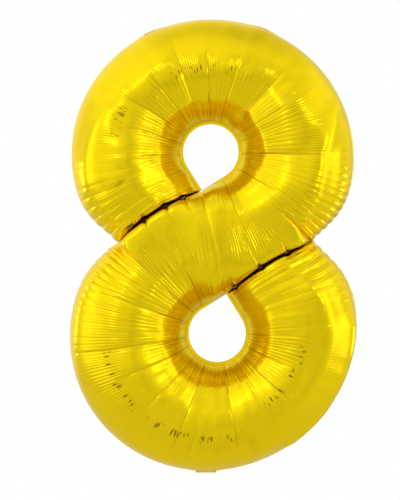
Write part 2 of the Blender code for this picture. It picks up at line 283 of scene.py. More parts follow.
def fold_angle(loop, name):
    """The angle from a loop's hole to the fold of a tab or of the tail."""
    x, _, z = named(RECORD["behaviour"]["joints"], name)["pos_m"]
    rel = (np.array((x, z)) - CENTRE) * loop.side - loop.hole
    return atan2(rel[1], rel[0])


def ray(angle):
    return np.stack((np.cos(angle), np.sin(angle)), -1)


def hole_tip(loop):
    return loop.hole + (ALONG_SLIT - ACROSS_SLIT) * loop.hole_radius


def hole_point(loop, angle):
    """The cut edge of the hole: a circle with two tangents that meet at right angles at the tip."""
    from_tip = np.abs((angle - (SLIT_ANGLE + pi * 5 / 4) + pi) % (2 * pi) - pi)
    reach = loop.hole_radius / np.cos(np.maximum(0.0, pi / 4 - from_tip))
    return loop.hole + ray(angle) * reach[..., None]


def scallops(loop, angle):
    """How the rim puffs out between tucks, most of all beside the mouths of the slits."""
    puffs = 0.06
    for mouth, pitch, spread in zip(MOUTHS, PUFF_PITCHES, PUFF_SPREADS):
        puffs = puffs + bell(angle - mouth, spread) * ridges(angle / pitch + loop.side * 0.3, 0.6)
    return puffs


def rim_reach(loop, angle, puff=0.0):
    """From the hole's centre to the cut edge of the rim."""
    oval = 1 + loop.oval * np.cos(2 * (angle - loop.oval_angle))
    out = loop.rim - loop.hole
    along = ray(angle) @ out
    reach = along + np.sqrt((loop.rim_radius * oval) ** 2 - out @ out + along**2)
    for mouth, (pull, spread) in zip(MOUTHS, loop.notches):
        reach = reach - pull * bell(angle - mouth, spread)
    for name, wider in loop.folds:
        reach = reach + wider * np.exp(-(((angle - fold_angle(loop, name)) / FLARE_SPREAD) ** 4))
    return reach + puff * scallops(loop, angle)


def from_own_slit(loop, point):
    """The distance of a point from the cut edge of the loop's own end."""
    return (point - loop.hole) @ ACROSS_SLIT + loop.hole_radius - SLOT


def end_line_angle(loop):
    """The angle from the hole at which the rim meets the cut edge of the loop's own end."""
    tries = np.linspace(radians(205), radians(240), 4000)
    inside = from_own_slit(loop, loop.hole + ray(tries) * rim_reach(loop, tries)[:, None]) > 0
    return float(tries[inside].max())


def far_slit_reach(loop, angle, far_tip):
    """From the hole's centre to the other loop's slit, which ends at far_tip."""
    facing = ray(angle) @ -ACROSS_SLIT
    to_slit = (far_tip - loop.hole) @ -ACROSS_SLIT
    return np.where(facing > 0.05, to_slit / np.maximum(facing, 0.05), 1.0)


def outer_point(loop, angle, far_tip, puff):
    """(the outer cut edge: the rim, and past its mouth the far slit, where it is the slit)."""
    slit_reach, to_rim = far_slit_reach(loop, angle, far_tip), rim_reach(loop, angle, puff)
    return loop.hole + ray(angle) * np.minimum(to_rim, slit_reach)[:, None], slit_reach < to_rim


def in_figure(loop, points):
    """Points of a loop's own frame in the figure's frame, with the bow of the slits."""
    flat = points * loop.side
    place = flat.copy()
    for each in (UPPER, LOWER):
        from_tip = flat * each.side - hole_tip(each)
        along = from_tip @ ALONG_SLIT / SLIT_LENGTH
        near = bell(from_tip @ ACROSS_SLIT, SLIT_LIFT_SPREAD)
        lift = np.where((along > 0) & (along < 1), SLIT_LIFT * np.sin(pi * along) * near, 0.0)
        place += lift[..., None] * ACROSS_SLIT
    return place


# ---------------------------------------------------------------- shapes of gathered film


def hashed(index, salt):
    """A fixed number from 0 to 1 for each whole number."""
    return np.modf(np.abs(np.sin(index * 12.9898 + salt * 78.233)) * 4375.85453)[0]


def drift(x, salt):
    """Smooth noise from -1 to 1, with one swing for each whole number."""
    base = np.floor(x)
    share = x - base
    share = share * share * (3 - 2 * share)
    return 2 * (hashed(base, salt) * (1 - share) + hashed(base + 1, salt) * share) - 1


def drift_2d(x, y, salt):
    base = np.floor(y)
    share = y - base
    share = share * share * (3 - 2 * share)
    return drift(x + base * 37.7, salt) * (1 - share) + drift(x + (base + 1) * 37.7, salt) * share


def ramp(x, start, end):
    """From 0 at start to 1 at end, eased."""
    share = np.clip((x - start) / (end - start), 0, 1)
    return share * share * (3 - 2 * share)


def ridges(phase, power):
    """Round ridges with a sharp valley at each whole number, from 0 to 1."""
    return np.abs(np.sin(pi * phase)) ** power


WIDE_PITCH, FINE_PITCH, RING_PITCH = 3.0, 1.42, 5.6  # from one pleat to the next, in degrees
SLIT_TUCK_PITCH = 0.0062  # from one tuck to the next along a slit
SLIT_LINE_PITCH = 0.0095  # from one to the next of the lines that run beside a slit


def pleat_field(loop, angle, share, salt):
    """(height of the fine pleats, how far a point lies in a valley of them for painted shade), angle in
    degrees.
    """
    knots, *sizes = np.array(loop.gathers).T
    sizes = [np.interp(angle, knots, each) for each in sizes]
    inner_reach, outer_start, outer_reach, outer_size = sizes
    sector = np.searchsorted(sorted(place for place, reach in loop.creases), angle)
    wide = angle / WIDE_PITCH + 0.3 * drift(angle / 7, salt)
    fine = angle / FINE_PITCH + 0.4 * drift(angle / 5, salt + 1)
    ring = angle / RING_PITCH + 0.45 * drift(angle / 9, salt + 15) + 0.3 * drift(share * 9, salt + 16)
    wide_index, fine_index = np.floor(wide), np.floor(fine)
    wide_size = 0.45 + 0.55 * hashed(wide_index, salt + 2)
    fine_size = 0.35 + 0.65 * hashed(fine_index, salt + 3)
    ring_size = 0.35 + 0.65 * hashed(np.floor(ring), salt + 17)

    uneven = 0.05 * drift(angle / 11, salt + 4) + 0.08 * (hashed(wide_index, salt + 5) - 0.5)
    wide_end = inner_reach + uneven
    tight = 0.45 + 0.75 * hashed(sector, salt + 12) + 0.7 * (1 - ramp(share, 0.02, 0.15))
    near_hole = (1 - ramp(share, wide_end - 0.12, wide_end)) * tight
    round_ring = ramp(share, 0.0, 0.04) * bell(share - 0.10, 0.10)

    uneven = 0.05 * drift(angle / 13, salt + 6) + 0.05 * (hashed(fine_index, salt + 7) - 0.5)
    fine_start = outer_start + uneven
    uneven = 0.05 * drift(angle / 9, salt + 8) + 0.10 * (hashed(fine_index, salt + 9) - 0.5)
    fine_end = outer_reach + uneven
    belt = ramp(share, fine_start - 0.03, fine_start + 0.03)
    belt = belt * (1 - ramp(share, fine_end - 0.14, fine_end))
    belt = belt * outer_size * (0.6 + 0.5 * hashed(sector, salt + 13))
    height = (
        1.7 * wide_size * near_hole * (ridges(wide, 0.7) - 0.6)
        + 2.2 * fine_size * belt * (ridges(fine, 0.8) - 0.6)
        + 0.30 * (ridges(fine, 0.8) - 0.6) * ramp(share, 0.03, 0.2) * (1 - ramp(share, 0.7, 0.9))
        + 2.1 * ring_size * (ridges(ring, 0.8) - 0.6) * round_ring
        + (2.5 + 5.5 * hashed(sector, salt + 14)) * bell(share - 0.23, 0.045)
    )
    valley = (
        wide_size * near_hole * (1 - ridges(wide, 0.8)) ** 2
        + 1.2 * fine_size * belt * (1 - ridges(fine, 1.0))
        + 0.55 * ring_size * round_ring * (1 - ridges(ring, 0.9))
    )
    return height, valley


def slit_tucks(points):
    """(height of the tucks beside the slits, valleys of them for painted shade), at points without the
    slits' bow.
    """
    height, valley = np.zeros(points.shape[:-1]), np.zeros(points.shape[:-1])
    for each in (UPPER, LOWER):
        from_tip = points * each.side - hole_tip(each)
        along, off = from_tip @ ALONG_SLIT, np.abs(from_tip @ ACROSS_SLIT)
        reach = ramp(along, -0.004, 0.004) * (1 - ramp(along, 0.182, 0.196))
        row = along / SLIT_TUCK_PITCH + 0.35 * drift(along / 0.019, 41 + each.side)
        fade = np.exp(-off / (0.007 + 0.016 * hashed(np.floor(row), 43 + each.side))) * reach
        height += 0.0007 * (ridges(row, 0.7) - 0.6) * fade
        valley += 0.5 * (1 - ridges(row, 0.8)) ** 2 * fade
        lines = np.sin((off + 0.0012 * drift(along / 0.05, 47 + each.side)) * 2 * pi / SLIT_LINE_PITCH)
        height += 0.0008 * lines * np.exp(-off / 0.016) * reach * ramp(off, 0.002, 0.007)
        for place in each.bridges:
            pinch = np.exp(-np.abs(along - place) / 0.0030)
            height -= 0.0070 * pinch * np.exp(-off / 0.015)
            valley += 1.2 * pinch * np.exp(-off / 0.011)
    return height, valley


def long_creases(loop, angle, share, mid_radius):
    """(depth of the long creases, their bottom lines for painted shade, tip of the facets between
    them).
    """
    depth, line = np.zeros_like(share), np.zeros_like(share)
    for number, (place, reach) in enumerate(loop.creases):
        wander = 0.5 * drift(share * 3 + number * 5, 31)
        away = np.abs(angle - place - wander) * pi / 180 * mid_radius
        size = (0.6 + 0.4 * hashed(number, 7 + loop.side)) * (1 - ramp(share, reach - 0.22, reach))
        depth += size * (0.75 * np.exp(-away / 0.014) + 0.25 * np.exp(-away / 0.0016))
        line += size * np.exp(-away / 0.0012)
    places = sorted(place for place, reach in loop.creases)
    knots = [places[0] - 30] + places + [places[-1] + 30]
    tips = 2 * hashed(np.arange(len(knots)), 3 + loop.side) - 1
    return depth, line, np.interp(angle, knots, tips)


def polar(loop, points, near, far_tip):
    """(angle in degrees, share of the stroke, distance) of points round a loop's hole.

    Angles come out next to near, which is in radians.
    """
    rel = points - loop.hole
    angle = np.arctan2(rel[..., 1], rel[..., 0])
    angle = near + (angle - near + pi) % (2 * pi) - pi
    inner = np.linalg.norm(hole_point(loop, angle) - loop.hole, axis=-1)
    outer = np.minimum(rim_reach(loop, angle), far_slit_reach(loop, angle, far_tip))
    distance = np.linalg.norm(rel, axis=-1)
    return np.degrees(angle), np.clip((distance - inner) / (outer - inner), 0, 1), distance


def from_line(points, start, end):
    """Signed distance of points from the line through two others."""
    along = (end - start) / np.linalg.norm(end - start)
    rel = points - start
    return rel[..., 0] * along[1] - rel[..., 1] * along[0]


def gathered(film, loop, angle, share, from_hole, facing):
    """(how far creases, facets and pleats round a hole lift the film, how much painted shade darkens
    its folds).
    """
    salt = 11 + 5 * loop.side + 2 * facing
    depth, line, tip = long_creases(loop, angle, share, from_hole)
    pleats, valleys = pleat_field(loop, angle, share, salt)
    # painted shade in the valleys of the pleats, along the bottom lines of the creases and in a ring
    # round the hole
    dark = 0.8 * valleys + line + loop.ring_shade * (1 - ramp(share, 0.10, 0.24))
    lift = film.pleat_height * pleats - film.crease_depth * depth * ramp(from_hole, 0.06, 0.12)
    lift += film.facet_height * tip * ramp(share, 0.04, 0.18) * (1 - ramp(share, 0.55, 0.95))
    lift += 0.0018 * drift_2d(angle / 16, share * 3, salt + 20)
    lift += 0.0007 * drift_2d(angle / 5 + share * 4, share * 7 - angle / 25, salt + 24)
    for angles, shares, height in loop.rim_folds:
        here = ramp(angle, angles[0], angles[0] + 10) * (1 - ramp(angle, angles[-1] - 10, angles[-1]))
        off = share - np.interp(angle, angles, shares) - 0.01 * drift(angle / 13, salt + 30)
        lift += height * here * np.maximum(0, 1 - np.where(off < 0, -off / 0.16, off / 0.10))
    for place, stop, turn in loop.dents:
        aside, out = np.radians(angle - place) * from_hole, (share - stop) * STROKE
        along = aside * sin(radians(turn)) + out * cos(radians(turn))
        off = aside * cos(radians(turn)) - out * sin(radians(turn))
        # painted shade along the dent
        dark += np.exp(-((along / 0.011) ** 4)) * bell(off, 0.0035)
        lift -= 0.0016 * bell(along, 0.013) * np.exp(-np.abs(off) / 0.006)
    return lift, dark


def laid_film(film, facing):
    """Grids of the panel's points and of their marks, with a line of points for each station."""
    upper = loop_grid(film, UPPER, LOWER, facing)
    lower = loop_grid(film, LOWER, UPPER, facing)
    return [np.concatenate((first[:-1], last[::-1, ::-1])) for first, last in zip(upper, lower)]


def station_angles(loop, far_tip, count):
    """(angles to the hole's edge, angles to the outer edge), dense where the end curves down."""
    first = end_line_angle(loop)
    last = atan2(far_tip[1] - loop.hole[1], far_tip[0] - loop.hole[0])
    place = np.linspace(0, 1, count)
    slow = 0.02
    place = place - slow * (1 - np.exp(-place / slow))
    outer = first - (first - last) * place / place[-1]
    start_lead = SLIT_ANGLE + pi + atan(1 - SLOT / loop.hole_radius) - first
    end_lead = SLIT_ANGLE - pi * 3 / 4 - last
    lead = start_lead * np.exp((outer - first) / radians(25))
    lead = lead + end_lead * np.exp((last - outer) / radians(9.5))
    return outer + lead, outer


def loop_grid(film, loop, other, facing):
    """(points, marks) of one loop's film, from its own end to the line between the two holes.

    The marks of a point are its place along and across the stroke, how much painted shade darkens its
    fold, how strong the row of painted shadows of tiny tucks is there, and how far it lies from the
    row.
    """
    far_tip = -hole_tip(other)
    inner_angle, outer_angle = station_angles(loop, far_tip, film.stations)
    inner = hole_point(loop, inner_angle)
    outer, on_slit = outer_point(loop, outer_angle, far_tip, film.scallop)
    width = np.linalg.norm(outer - inner, axis=1)
    past = np.clip((MOUTHS[1] - outer_angle) / radians(6), 0, 1)
    outer_weld = film.slit_weld + (film.rim_weld - film.slit_weld) * (1 - past)
    to_joint = ramp(outer_angle, outer_angle[-1], outer_angle[-1] + radians(14))
    inner_weld = film.slit_weld + (film.hole_weld - film.slit_weld) * to_joint
    inflated = width - inner_weld - outer_weld
    across = (1 - np.cos(pi * np.linspace(0, 1, film.rows + 1))) / 2
    stops = inner_weld[:, None] + across[None, :] * inflated[:, None]
    flat_weld = inner_weld[:, None] * (0.0, 0.75)
    stops = np.concatenate((flat_weld, stops, width[:, None]), axis=1)
    share = np.concatenate(([0.0, 0.0], across, [1.0]))[None, :] + 0 * stops
    flat = inner[:, None] + (outer - inner)[:, None] * (stops / width[:, None])[..., None]

    from_joint = outer_angle - outer_angle[-1]
    inner_power = JOINT_POWER + (HOLE_SIDE_POWER - JOINT_POWER) * ramp(from_joint, 0, radians(26))
    outer_power = RIM_SIDE_POWER + (SLIT_SIDE_POWER - RIM_SIDE_POWER) * past
    outer_power = JOINT_POWER + (outer_power - JOINT_POWER) * ramp(from_joint, 0, radians(22))
    power = np.where(share < 0.5, inner_power[:, None], outer_power[:, None])
    profile = np.maximum(0.0, 1 - np.abs(2 * share - 1) ** power) ** (1 / power)
    to_end = np.clip(from_own_slit(loop, flat) - film.slit_weld, 0, None)
    to_end = np.where(outer_angle[:, None] > pi / 2, to_end, 1.0)
    away = 1 - np.minimum(1.0, to_end / LOBE_END_REACH)
    end_height = (1 - away**LOBE_END_POWER) ** (1 / LOBE_END_POWER)
    height = film.depth_share * inflated[:, None] * profile * end_height

    place = in_figure(loop, flat)
    points = np.stack((place[..., 0], -height, place[..., 1]), -1)

    angle, polar_share, from_hole = polar(loop, flat, outer_angle[:, None], far_tip)
    lift, fold = gathered(film, loop, angle, polar_share, from_hole, facing)
    beyond = polar(other, -flat, radians(-75), -hole_tip(loop))
    far_lift, far_fold = gathered(film, other, *beyond, facing)
    own = 0.5 + 0.5 * ramp(np.abs(from_line(flat, hole_tip(loop), far_tip)), 0, 0.03)
    own = np.where(outer_angle[:, None] > 0, 1.0, own)
    lift, fold = lift * own + far_lift * (1 - own), fold * own + far_fold * (1 - own)
    edge = ramp(share, 0.0, 0.012) * (1 - ramp(share, 0.96, 1.0)) * ramp(to_end, 0.0, 0.02)
    near_slit = ramp(to_end, 0.005, 0.045)
    lift, fold = lift * near_slit, fold * near_slit
    tucks, tuck_valleys = slit_tucks(flat * loop.side)
    rim_puffs = scallops(loop, np.radians(angle)) * ramp(share, 0.55, 1.0) * ramp(to_end, 0.0, 0.01)
    lift = lift * edge
    lift = lift + film.scallop * (rim_puffs - 0.06) * ramp(share, 0.6, 0.95) * (~on_slit[:, None])
    lift = lift + tucks * ramp(share, 0.0, 0.02) * (1 - ramp(share, 0.98, 1.0))
    points += normals_of(points) * lift[..., None]
    points[..., 1] = np.minimum(points[..., 1], -NEAREST)
    points[:, 0, 1] = points[:, -1, 1] = -NEAREST if loop is UPPER else -0.0002
    points[..., 1] *= -facing
    # painted shade of the folds, and of the valleys of the tucks beside the slits and at the bridges
    fold = np.clip(fold * edge + tuck_valleys, 0, 1)
    in_row, row_share = np.zeros_like(share), np.zeros_like(share)
    for first, last, tuck_share in loop.tucks:
        here = ramp(angle, first, first + 6) * (1 - ramp(angle, last - 6, last))
        row_share = np.where(here > 0, tuck_share, row_share)
        in_row += here
    along_stroke = angle / 360 + (0 if loop is UPPER else 2)
    return points, np.stack((along_stroke, share, fold, in_row, share - row_share), -1)


def normals_of(points):
    """Outward normals of a grid of points whose front faces -Y."""
    along = np.gradient(points, axis=0)
    across = np.gradient(points, axis=1)
    normal = np.cross(along, across)
    length = np.linalg.norm(normal, axis=-1, keepdims=True)
    normal = normal / np.maximum(length, 1e-12)
    flip = np.where(normal[..., 1:2] > 0, -1.0, 1.0)
    return normal * flip


# ---------------------------------------------------------------- finishes


def new_group(name, inputs, outputs):
    """(a shader node group, the sockets it starts from, the sockets it ends in).

    An input whose default is None is a vector. All the others, and the outputs, are floats.
    """
    group = bpy.data.node_groups.new(name, "ShaderNodeTree")
    for label, default in inputs.items():
        kind = "NodeSocketVector" if default is None else "NodeSocketFloat"
        socket = group.interface.new_socket(label, in_out="INPUT", socket_type=kind)
        if default is not None:
            socket.default_value = default
    for label in outputs:
        group.interface.new_socket(label, in_out="OUTPUT", socket_type="NodeSocketFloat")
    start = add(group, "NodeGroupInput", (-900, 0))
    end = add(group, "NodeGroupOutput", (500, 0))
    return group, start.outputs, end.inputs


def put(tree, socket, value):
    """Links a socket to another one, or sets its default."""
    if isinstance(value, bpy.types.NodeSocket):
        tree.links.new(value, socket)
    else:
        socket.default_value = value


def fill(tree, node, **values):
    """Sets a node's sockets, and its own settings where it has no such socket, by name."""
    for name, value in values.items():
        socket = node.inputs.get(name.replace("_", " ").title())
        if socket is None:
            setattr(node, name, value)
        else:
            put(tree, socket, value)
    return node


def add(tree, kind, place=(0, 0), **values):
    node = tree.nodes.new(kind)
    node.location = place
    return fill(tree, node, **values)


def add_group(tree, name, place, **values):
    return add(tree, "ShaderNodeGroup", place, node_tree=bpy.data.node_groups[name], **values)


def noise_in(tree, where, place, **values):
    """The value of a noise texture at a vector."""
    return add(tree, "ShaderNodeTexNoise", place, vector=where, **values).outputs["Fac"]


def attribute(tree, name, place):
    return add(tree, "ShaderNodeAttribute", place, attribute_name=name).outputs["Fac"]


def span(tree, value, place, limits):
    """A value mapped from one span to another: limits are from min, from max, to min and to max."""
    node = add(tree, "ShaderNodeMapRange", place, value=value)
    for label, limit in zip(("From Min", "From Max", "To Min", "To Max"), limits):
        node.inputs[label].default_value = limit
    return node.outputs["Result"]


def calculate(tree, operation, place, *values, kind="ShaderNodeMath", output=0):
    """The output of a Math node, or of a Vector Math node, on sockets or plain numbers."""
    node = add(tree, kind, place, **({"operation": operation} if operation else {}))
    for socket, value in zip(node.inputs, values):
        put(tree, socket, value)
    return node.outputs[output]


def tinted(tree, place, base, share, tint):
    """A colour that goes over to a tint by a share."""
    mix = add(tree, "ShaderNodeMix", place, data_type="RGBA", a=base, b=(*tint, 1), factor=share)
    return mix.outputs["Result"]


def crinkle_group():
    """Fine, sharp-edged crinkles of a stiff film."""
    inputs = {"Vector": None, "Scale": 60.0, "Amount": 1.0}
    group, start, end = new_group("Film crinkle", inputs, ("Height", "Mask"))
    at = {"vector": start["Vector"], "scale": start["Scale"]}
    noise = add(group, "ShaderNodeTexNoise", (-600, 120), detail=2.0, roughness=0.5, **at)
    cells = add(group, "ShaderNodeTexVoronoi", (-600, -160), feature="DISTANCE_TO_EDGE", **at)
    sharp = span(group, cells.outputs["Distance"], (-350, -160), (0.0, 0.25, 0.0, 1.0))
    mix = calculate(group, "MULTIPLY_ADD", (-100, 0), noise.outputs["Fac"], 0.7, sharp)
    put(group, end["Height"], calculate(group, "MULTIPLY", (120, 0), mix, start["Amount"]))
    put(group, end["Mask"], sharp)


def streak_group():
    """Fine lines across the stroke, on the film's UV map, where u runs along the stroke."""
    group, start, end = new_group("Film streaks", {"Vector": None, "Pitch": 200.0}, ("Height",))
    scale = add(group, "ShaderNodeCombineXYZ", (-700, -100), x=start["Pitch"], y=5.0).outputs[0]
    long = calculate(group, "MULTIPLY", (-500, 0), start["Vector"], scale, kind="ShaderNodeVectorMath")
    put(group, end["Height"], noise_in(group, long, (-250, 0), scale=1.0, detail=3.0, roughness=0.6))


def tiny_tuck_shade_group():
    """Painted shadow of tiny tucks in a row: scattered short dark dashes where the row's strength and
    rise say so.
    """
    group, start, end = new_group("Tiny tucks", {"Vector": None, "Row": 0.0, "Rise": 1.0}, ("Mask",))
    split = add(group, "ShaderNodeSeparateXYZ", (-750, 100), vector=start["Vector"])
    along = calculate(group, "MULTIPLY", (-550, 200), split.outputs["X"], 250.0)
    across = calculate(group, "MULTIPLY", (-550, 0), start["Rise"], 10.0)
    place = add(group, "ShaderNodeCombineXYZ", (-350, 100), x=along, y=across).outputs[0]
    cells = add(group, "ShaderNodeTexVoronoi", (-150, 100), vector=place, scale=1.0, randomness=0.9)
    dash = span(group, cells.outputs["Distance"], (50, 100), (0.26, 0.42, 1.0, 0.0))
    near = calculate(group, "ABSOLUTE", (-350, -200), start["Rise"])
    band = span(group, near, (-150, -200), (0.02, 0.045, 1.0, 0.0))
    both = calculate(group, "MULTIPLY", (250, 0), dash, band)
    put(group, end["Mask"], calculate(group, "MULTIPLY", (400, 0), both, start["Row"]))


def slit_group():
    """The painted shadow of a slit: a dark line that bows to one side, with three knots across it."""
    inputs = dict.fromkeys(("Vector", "Tip", "Along", "Across"))
    inputs |= dict.fromkeys(("Bow", "Knot 1", "Knot 2", "Knot 3"), 0.0)
    group, start, end = new_group("Slit shade", inputs, ("Mask",))

    def times(place, *values):
        return calculate(group, "MULTIPLY", place, *values)

    def distance(place, value, other):
        apart = calculate(group, "SUBTRACT", (place[0] - 200, place[1]), value, other)
        return calculate(group, "ABSOLUTE", place, apart)

    vectors = {"kind": "ShaderNodeVectorMath"}
    rel = calculate(group, "SUBTRACT", (-1300, 0), start["Vector"], start["Tip"], **vectors)
    along, across = (
        calculate(group, "DOT_PRODUCT", (-1100, -200 * row), rel, start[label], output=1, **vectors)
        for row, label in enumerate(("Along", "Across"))
    )
    turn = times((-900, 100), along, pi / SLIT_LENGTH)
    bow = times((-500, 100), calculate(group, "SINE", (-700, 100), turn), start["Bow"])
    off = distance((-100, -100), across, bow)
    noise = noise_in(group, start["Vector"], (-900, 400), scale=70.0, detail=2.0, roughness=0.6)
    uneven = span(group, noise, (-600, 400), (0.40, 0.60, 0.0, 0.0014))
    near = calculate(group, "SUBTRACT", (-300, 300), off, uneven)
    line = span(group, near, (0, 300), (0.0002, 0.0013, 1.0, 0.0))
    begin = span(group, along, (0, 600), (0.0, 0.006, 0.0, 1.0))
    stop = span(group, along, (0, 800), (SLIT_LENGTH - 0.03, SLIT_LENGTH, 1.0, 0.0))
    mask = times((300, 500), line, times((200, 700), begin, stop))
    short = span(group, off, (0, -300), (0.0035, 0.0085, 1.0, 0.0))
    for number in (1, 2, 3):
        row = -400 - 200 * number
        away = distance((-100, row), along, start[f"Knot {number}"])
        knot = times((300, row), span(group, away, (100, row), (0.0010, 0.0032, 1.0, 0.0)), short)
        mask = calculate(group, "MAXIMUM", (400, -200 * number), mask, knot)
    put(group, end["Mask"], mask)


def slit_shade(tree, where, loop):
    """A loop's slit, as a mask of painted shadow on the film's own coordinates."""
    tip = CENTRE + hole_tip(loop) * loop.side
    lines = {"tip": tip, "along": ALONG_SLIT * loop.side, "across": ACROSS_SLIT * loop.side}
    values = {name: (float(x), 0.0, float(z)) for name, (x, z) in lines.items()}
    values |= {f"knot_{number}": place for number, place in enumerate(loop.bridges, 1)}
    place = (-700, 1000 + 200 * loop.side)
    shade = add_group(tree, "Slit shade", place, vector=where, bow=SLIT_LIFT * loop.side, **values)
    return shade.outputs["Mask"]


def new_material(name):
    """(a material, its node tree, its Principled shader)."""
    made = bpy.data.materials.new(name)
    made.use_nodes = True
    return made, made.node_tree, made.node_tree.nodes["Principled BSDF"]


def gold_film(finish, name, laid):
    """Yellow lacquer over bright metal. The laid film also has streaks, and painted shade in its folds,
    tiny tucks and slits.
    """
    made, tree, shader = new_material(name)
    where = add(tree, "ShaderNodeTexCoord", (-1300, 0)).outputs["Object"]
    crinkle = add_group(tree, "Film crinkle", (-900, -300), vector=where, scale=38.0, amount=0.4)
    height = crinkle.outputs["Height"]
    cloud = noise_in(tree, where, (-1000, 300), scale=6.0, detail=3.0)
    some = calculate(tree, "MULTIPLY", (-820, 300), cloud, 0.3)
    base = tinted(tree, (-650, 300), (*finish.gold, 1), some, finish.amber)
    haze = span(tree, cloud, (-650, 0), (0.0, 1.0, finish.gloss - 0.04, finish.gloss + 0.06))
    if laid:
        flat = add(tree, "ShaderNodeUVMap", (-1300, -500), uv_map="film").outputs["UV"]
        streaks = add_group(tree, "Film streaks", (-900, -550), vector=flat, pitch=420.0)
        height = calculate(tree, "ADD", (-600, -450), height, streaks.outputs["Height"])
        # painted shade: the fold mark darkens the base colour in the folds
        folds = calculate(tree, "MULTIPLY", (-600, 550), attribute(tree, "fold", (-800, 550)), 0.62)
        base = tinted(tree, (-400, 350), base, folds, finish.crease_shade)
        # painted shadow of the tiny tucks
        row, rise = (attribute(tree, name, (-950, 800)) for name in ("tuck_row", "tuck_rise"))
        tucks = add_group(tree, "Tiny tucks", (-700, 800), vector=flat, row=row, rise=rise)
        base = tinted(tree, (-200, 450), base, tucks.outputs["Mask"], finish.tuck)
        # painted shadow in the slits and at their knots
        slits = (slit_shade(tree, where, loop) for loop in (UPPER, LOWER))
        either = calculate(tree, "MAXIMUM", (-450, 1000), *slits)
        dark = calculate(tree, "MULTIPLY", (-250, 900), either, 0.92)
        base = tinted(tree, (-50, 600), base, dark, finish.gap)
    bump = add(tree, "ShaderNodeBump", (-400, -300), height=height, strength=0.5, distance=0.0004)
    fill(tree, shader, normal=bump.outputs["Normal"], base_color=base, roughness=haze, metallic=1.0)
    fill(tree, shader, specular_tint=(0.97, 0.85, 0.35, 1), coat_weight=0.5, coat_roughness=0.08)
    shader.inputs["Coat IOR"].default_value = 1.2
    return made


def clear_film(finish):
    """The pale, cloudy film of the valve."""
    made, tree, shader = new_material("valve film")
    where = add(tree, "ShaderNodeTexCoord", (-900, 0)).outputs["Object"]
    cloud = noise_in(tree, where, (-650, 0), scale=90.0, detail=3.0)
    greyer = tuple(0.85 * part for part in finish.clear)
    base = tinted(tree, (-350, 100), (*finish.clear, 1), cloud, greyer)
    fill(tree, shader, base_color=base, roughness=span(tree, cloud, (-350, -150), (0.0, 1.0, 0.3, 0.5)))
    return made


# ---------------------------------------------------------------- pieces


def film_mesh(name, points, marks, facing):
    """A mesh over a grid of points, with its UV map, facing -Y or +Y."""
    count, rows = points.shape[:2]
    centre = np.array((CENTRE[0], SEAM_Y, CENTRE[1]))
    corner = (np.arange(count - 1)[:, None] * rows + np.arange(rows - 1)[None, :]).reshape(-1)
    quads = np.stack((corner, corner + 1, corner + rows + 1, corner + rows), -1)
    mesh = bpy.data.meshes.new(name)
    mesh.vertices.add(count * rows)
    mesh.vertices.foreach_set("co", (points + centre).reshape(-1))
    a, b, c = (points.reshape(-1, 3)[quads[len(quads) // 2, i]] for i in range(3))
    if np.cross(b - a, c - a)[1] * facing < 0:
        quads = quads[:, ::-1]
    mesh.loops.add(quads.size)
    mesh.polygons.add(len(quads))
    mesh.loops.foreach_set("vertex_index", quads.reshape(-1))
    mesh.polygons.foreach_set("loop_start", np.arange(0, quads.size, 4))
    mesh.update(calc_edges=True)
    layer = mesh.uv_layers.new(name="film")
    marks = marks.reshape(-1, 5).astype(np.float32)
    layer.data.foreach_set("uv", marks[quads.reshape(-1), :2].reshape(-1))
    # fold is the painted shade of the folds; tuck_row and tuck_rise place the painted shadows of tiny
    # tucks
    for column, label in ((2, "fold"), (3, "tuck_row"), (4, "tuck_rise")):
        mesh.attributes.new(label, "FLOAT", "POINT").data.foreach_set("value", marks[:, column].copy())
    mesh.validate()
    mesh.shade_smooth()
    return mesh


def grid(across, up):
    return np.meshgrid(across, up, indexing="ij")


def show(name, mesh, finish):
    made = bpy.data.objects.new(name, mesh)
    made.data.materials.append(finish)
    bpy.context.scene.collection.objects.link(made)
    return made


def thin_film(name, points, film, finish, outward, ring=False):
    """A film of even thickness over a grid of points, which closes on itself where ring is set."""
    points = np.asarray(points)
    count, rows = points.shape[:2]
    turns = count if ring else count - 1
    faces = [
        (i * rows + j, i * rows + j + 1, (i + 1) % count * rows + j + 1, (i + 1) % count * rows + j)
        for i in range(turns)
        for j in range(rows - 1)
    ]
    mesh = bpy.data.meshes.new(name)
    mesh.from_pydata(points.reshape(-1, 3).tolist(), [], faces)
    mesh.update()
    if sum((face.normal.dot(outward) for face in mesh.polygons)) < 0:
        mesh.flip_normals()
    piece = show(name, mesh, finish)
    thick = piece.modifiers.new("film", "SOLIDIFY")
    thick.thickness = film
    thick.offset = 0
    bpy.ops.object.select_all(action="DESELECT")
    piece.select_set(True)
    bpy.context.view_layer.objects.active = piece
    bpy.ops.object.modifier_apply(modifier=thick.name)
    bpy.ops.object.shade_smooth_by_angle(angle=radians(40))
    return piece


def joint_frame(name):
    """(a point of a joint's line, its direction, the direction from the figure outwards) of a fold."""
    joint = named(RECORD["behaviour"]["joints"], name)
    along = Vector(joint["axis"])
    return Vector(joint["pos_m"]), along, along.cross(Vector((0, 1, 0))) * -1


def at_fold(fold, across, up, rise):
    """Points at a fold: across it, up from it towards the back, and rise outwards."""
    start, side, out = (np.array(each) for each in fold)
    back = np.array((0.0, 1.0, 0.0))
    return start + side * across[..., None] + back * up[..., None] + out * rise[..., None]


def fold_root(name, fold, width, depth, film, finish):
    """The strip of film from the weld to a fold, which stays with the balloon."""
    across, down = grid(np.linspace(-0.5, 0.5, 13) * width, np.linspace(0, 1, 5))
    points = at_fold(fold, across, 0 * down, -depth * down - 0.0001)
    root = thin_film(name, points, film, finish, Vector((0, 1, 0)))
    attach(root, "balloon")


